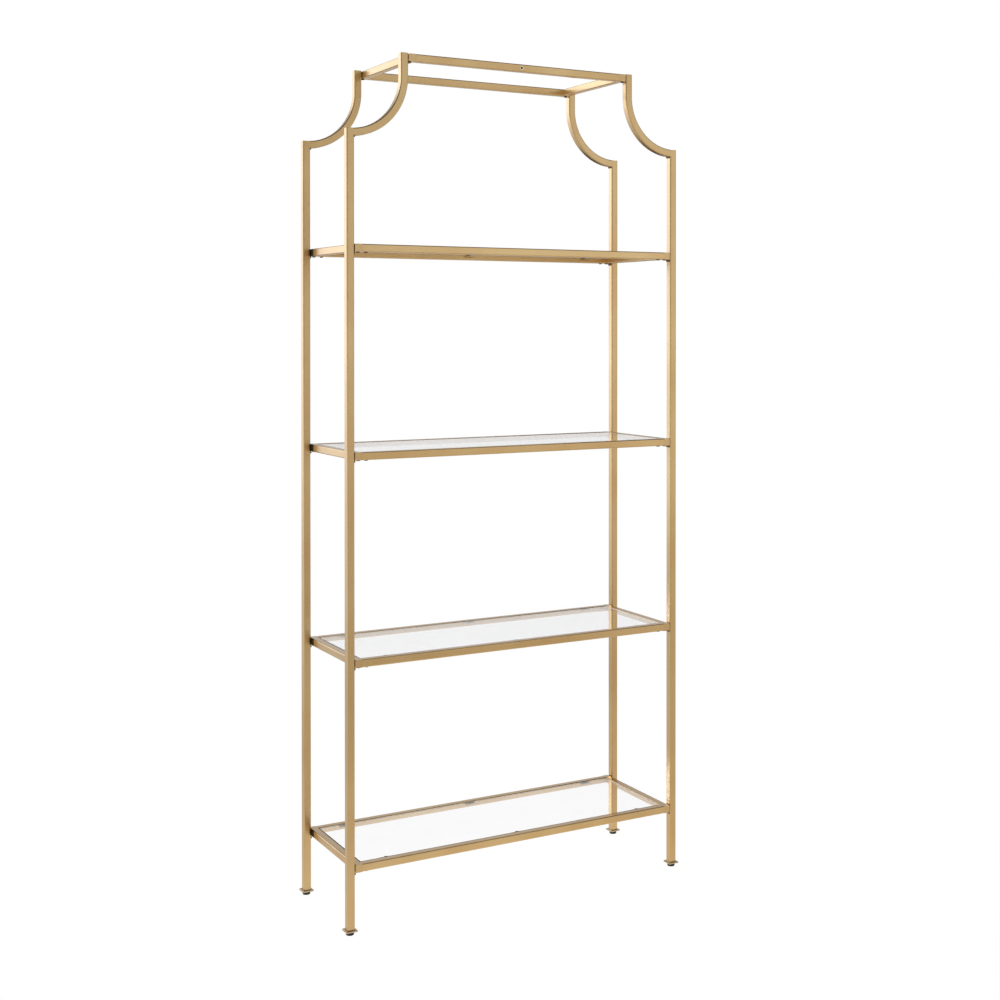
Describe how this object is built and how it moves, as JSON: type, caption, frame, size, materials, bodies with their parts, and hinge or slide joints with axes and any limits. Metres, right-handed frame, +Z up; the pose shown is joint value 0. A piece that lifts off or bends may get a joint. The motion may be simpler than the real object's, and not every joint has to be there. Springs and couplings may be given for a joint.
{
  "type": "etagere",
  "caption": "Tall open display stand of slim square metal tube with scooped shoulders, a narrower top frame, clear glass shelves and levelling feet.",
  "frame": {"origin": "on the floor, in the middle of the footprint", "axes": "+Z up, +X along the width to the right seen from the front, +Y towards the back"},
  "size_m": [0.8216, 0.2816, 1.827],
  "materials": {
    "gold_steel": "satin champagne gold over steel tube",
    "clear_glass": "clear toughened glass with ground edges",
    "clear_bumper": "clear soft plastic disc",
    "black_plastic": "black moulded pad",
    "plain_steel": "bright zinc plate",
    "insert_steel": "zinc plate, dulled",
    "dark_screw": "blackened steel low head"
  },
  "bodies": {
    "frame": {"post_front_left": "gold_steel", "post_front_right": "gold_steel", "post_back_left": "gold_steel", "post_back_right": "gold_steel", "arch_front_left": "gold_steel", "arch_front_right": "gold_steel", "arch_back_left": "gold_steel", "arch_back_right": "gold_steel", "upright_caps": "gold_steel", "foot_plate_front_left": "gold_steel", "foot_plate_front_right": "gold_steel", "foot_plate_back_left": "gold_steel", "foot_plate_back_right": "gold_steel", "foot_nuts": "plain_steel", "top_rail_left": "gold_steel", "top_rail_right": "gold_steel", "top_rail_front": "gold_steel", "top_rail_back": "gold_steel", "wall_inserts": "insert_steel", "shelf_1_rail_left": "gold_steel", "shelf_1_rail_right": "gold_steel", "shelf_1_rail_front": "gold_steel", "shelf_1_rail_back": "gold_steel", "shelf_1_glass_tabs": "gold_steel", "shelf_1_bumpers": "clear_bumper", "shelf_2_rail_left": "gold_steel", "shelf_2_rail_right": "gold_steel", "shelf_2_rail_front": "gold_steel", "shelf_2_rail_back": "gold_steel", "shelf_2_glass_tabs": "gold_steel", "shelf_2_bumpers": "clear_bumper", "shelf_3_rail_left": "gold_steel", "shelf_3_rail_right": "gold_steel", "shelf_3_rail_front": "gold_steel", "shelf_3_rail_back": "gold_steel", "shelf_3_glass_tabs": "gold_steel", "shelf_3_bumpers": "clear_bumper", "shelf_4_rail_left": "gold_steel", "shelf_4_rail_right": "gold_steel", "shelf_4_rail_front": "gold_steel", "shelf_4_rail_back": "gold_steel", "shelf_4_glass_tabs": "gold_steel", "shelf_4_bumpers": "clear_bumper", "rail_end_caps": "gold_steel", "frame_tongues": "gold_steel", "frame_screws": "dark_screw"},
    "shelf_1_pane": {"shelf_1_glass": "clear_glass"},
    "shelf_2_pane": {"shelf_2_glass": "clear_glass"},
    "shelf_3_pane": {"shelf_3_glass": "clear_glass"},
    "shelf_4_pane": {"shelf_4_glass": "clear_glass"},
    "leveller_front_left": {"leveller_stem_front_left": "plain_steel", "leveller_pad_front_left": "black_plastic"},
    "leveller_front_right": {"leveller_stem_front_right": "plain_steel", "leveller_pad_front_right": "black_plastic"},
    "leveller_back_left": {"leveller_stem_back_left": "plain_steel", "leveller_pad_back_left": "black_plastic"},
    "leveller_back_right": {"leveller_stem_back_right": "plain_steel", "leveller_pad_back_right": "black_plastic"}
  },
  "joints": [
    {"name": "shelf_1_pane_lift", "type": "slide", "parent": "frame", "child": "shelf_1_pane", "axis": [0, 0, 1], "range_m": [0, 0.08]},
    {"name": "shelf_2_pane_lift", "type": "slide", "parent": "frame", "child": "shelf_2_pane", "axis": [0, 0, 1], "range_m": [0, 0.08]},
    {"name": "shelf_3_pane_lift", "type": "slide", "parent": "frame", "child": "shelf_3_pane", "axis": [0, 0, 1], "range_m": [0, 0.08]},
    {"name": "shelf_4_pane_lift", "type": "slide", "parent": "frame", "child": "shelf_4_pane", "axis": [0, 0, 1], "range_m": [0, 0.08]},
    {"name": "leveller_front_left_screw_out", "type": "slide", "parent": "frame", "child": "leveller_front_left", "axis": [0, 0, -1], "range_m": [0, 0.012]},
    {"name": "leveller_front_right_screw_out", "type": "slide", "parent": "frame", "child": "leveller_front_right", "axis": [0, 0, -1], "range_m": [0, 0.012]},
    {"name": "leveller_back_left_screw_out", "type": "slide", "parent": "frame", "child": "leveller_back_left", "axis": [0, 0, -1], "range_m": [0, 0.012]},
    {"name": "leveller_back_right_screw_out", "type": "slide", "parent": "frame", "child": "leveller_back_right", "axis": [0, 0, -1], "range_m": [0, 0.012]}
  ]
}
